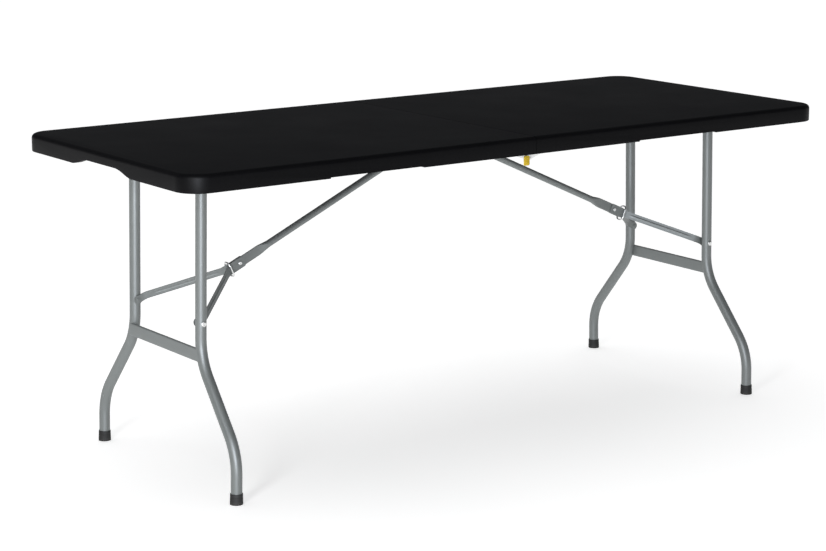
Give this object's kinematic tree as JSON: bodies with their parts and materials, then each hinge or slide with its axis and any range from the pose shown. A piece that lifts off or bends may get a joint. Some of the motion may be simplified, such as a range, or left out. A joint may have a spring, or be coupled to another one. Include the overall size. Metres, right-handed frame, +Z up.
{
  "type": "folding table",
  "caption": "Rectangular table with a moulded top that folds in half like a suitcase, and bent tube leg frames that fold under it on hinged braces with sliding lock rings.",
  "frame": {"origin": "on the floor under the middle of the table top", "axes": "+X along the table's length, +Y across its width towards the back, +Z up"},
  "size_m": [1.8, 0.74, 0.735],
  "materials": {
    "moulded_top": "blow-moulded polyethylene, fine matt grain",
    "grey_coat": "satin silver-grey powder coat on steel",
    "zinc": "bright zinc plate",
    "yellow_grip": "moulded yellow plastic",
    "foot_rubber": "matt black",
    "black_nylon": "moulded black nylon"
  },
  "bodies": {
    "left_top": {"top_panel_left": "moulded_top", "crossbar_left": "grey_coat", "brace_bracket_left": "grey_coat", "brace_rivet_left": "zinc", "side_rail_left_front": "grey_coat", "pivot_bush_left_front": "black_nylon", "hinge_plate_left_front": "zinc", "side_rail_left_back": "grey_coat", "pivot_bush_left_back": "black_nylon", "hinge_plate_left_back": "zinc", "hinge_pin_front": "zinc", "hinge_pin_back": "zinc", "latch_rivet_front": "zinc", "latch_rivet_back": "zinc"},
    "left_legs": {"leg_pivot_tube_left": "grey_coat", "leg_crossbrace_left": "grey_coat", "leg_left_front": "grey_coat", "leg_rivet_left_front": "zinc", "foot_cap_left_front": "foot_rubber", "leg_left_back": "grey_coat", "leg_rivet_left_back": "zinc", "foot_cap_left_back": "foot_rubber"},
    "left_brace": {"brace_tube_left": "grey_coat"},
    "left_arms": {"brace_arm_left_front": "grey_coat", "brace_arm_left_back": "grey_coat", "knee_rivet_left": "zinc"},
    "left_ring": {"lock_ring_left": "zinc"},
    "right_top": {"top_panel_right": "moulded_top", "crossbar_right": "grey_coat", "brace_bracket_right": "grey_coat", "brace_rivet_right": "zinc", "side_rail_right_front": "grey_coat", "pivot_bush_right_front": "black_nylon", "hinge_plate_right_front": "zinc", "side_rail_right_back": "grey_coat", "pivot_bush_right_back": "black_nylon", "hinge_plate_right_back": "zinc", "lock_stud_front": "zinc", "lock_stud_back": "zinc", "handle_bracket_front": "black_nylon", "handle_bracket_back": "black_nylon"},
    "right_legs": {"leg_pivot_tube_right": "grey_coat", "leg_crossbrace_right": "grey_coat", "leg_right_front": "grey_coat", "leg_rivet_right_front": "zinc", "foot_cap_right_front": "foot_rubber", "leg_right_back": "grey_coat", "leg_rivet_right_back": "zinc", "foot_cap_right_back": "foot_rubber"},
    "right_brace": {"brace_tube_right": "grey_coat"},
    "right_arms": {"brace_arm_right_front": "grey_coat", "brace_arm_right_back": "grey_coat", "knee_rivet_right": "zinc"},
    "right_ring": {"lock_ring_right": "zinc"},
    "latch_front": {"latch_lever_front": "zinc", "latch_grip_front": "yellow_grip"},
    "latch_back": {"latch_lever_back": "zinc", "latch_grip_back": "yellow_grip"},
    "handle": {"carry_handle": "black_nylon"}
  },
  "joints": [
    {"name": "centre_fold", "type": "hinge", "parent": "left_top", "child": "right_top", "pos_m": [0, 0, 0.688], "axis": [0, 1, 0], "range_deg": [0, 90]},
    {"name": "left_leg_fold", "type": "hinge", "parent": "left_top", "child": "left_legs", "pos_m": [-0.738, 0, 0.7018], "axis": [0, -1, 0], "range_deg": [0, 91.45]},
    {"name": "left_brace_fold", "type": "hinge", "parent": "left_top", "child": "left_brace", "pos_m": [-0.023, 0, 0.693], "axis": [0, 1, 0], "range_deg": [0, 26.5]},
    {"name": "left_knee_fold", "type": "hinge", "parent": "left_brace", "child": "left_arms", "pos_m": [-0.55804, 0, 0.45197], "axis": [0, -1, 0], "range_deg": [0, 178.5]},
    {"name": "left_ring_slide", "type": "slide", "parent": "left_brace", "child": "left_ring", "axis": [0.9118, 0, 0.4107], "range_m": [0, 0.2505]},
    {"name": "right_leg_fold", "type": "hinge", "parent": "right_top", "child": "right_legs", "pos_m": [0.738, 0, 0.7018], "axis": [0, 1, 0], "range_deg": [0, 91.45]},
    {"name": "right_brace_fold", "type": "hinge", "parent": "right_top", "child": "right_brace", "pos_m": [0.023, 0, 0.693], "axis": [0, -1, 0], "range_deg": [0, 26.5]},
    {"name": "right_knee_fold", "type": "hinge", "parent": "right_brace", "child": "right_arms", "pos_m": [0.55804, 0, 0.45197], "axis": [0, 1, 0], "range_deg": [0, 178.5]},
    {"name": "right_ring_slide", "type": "slide", "parent": "right_brace", "child": "right_ring", "axis": [-0.9118, 0, 0.4107], "range_m": [0, 0.2505]},
    {"name": "latch_front_swing", "type": "hinge", "parent": "left_top", "child": "latch_front", "pos_m": [-0.0125, -0.3462, 0.7005], "axis": [0, -1, 0], "range_deg": [0, 90]},
    {"name": "latch_back_swing", "type": "hinge", "parent": "left_top", "child": "latch_back", "pos_m": [-0.0125, 0.3462, 0.7005], "axis": [0, -1, 0], "range_deg": [0, 90]},
    {"name": "handle_swing", "type": "hinge", "parent": "right_top", "child": "handle", "pos_m": [0.874, 0, 0.7035], "axis": [0, 1, 0], "range_deg": [-90, 90]}
  ],
  "couplings": [
    {"joint": "left_brace_fold", "follows": "left_leg_fold", "ratio": 0.289},
    {"joint": "left_knee_fold", "follows": "left_leg_fold", "ratio": 1.9511},
    {"joint": "left_ring_slide", "follows": "left_leg_fold", "m_per_rad": 0.15663},
    {"joint": "right_brace_fold", "follows": "right_leg_fold", "ratio": 0.289},
    {"joint": "right_knee_fold", "follows": "right_leg_fold", "ratio": 1.9511},
    {"joint": "right_ring_slide", "follows": "right_leg_fold", "m_per_rad": 0.15663}
  ]
}
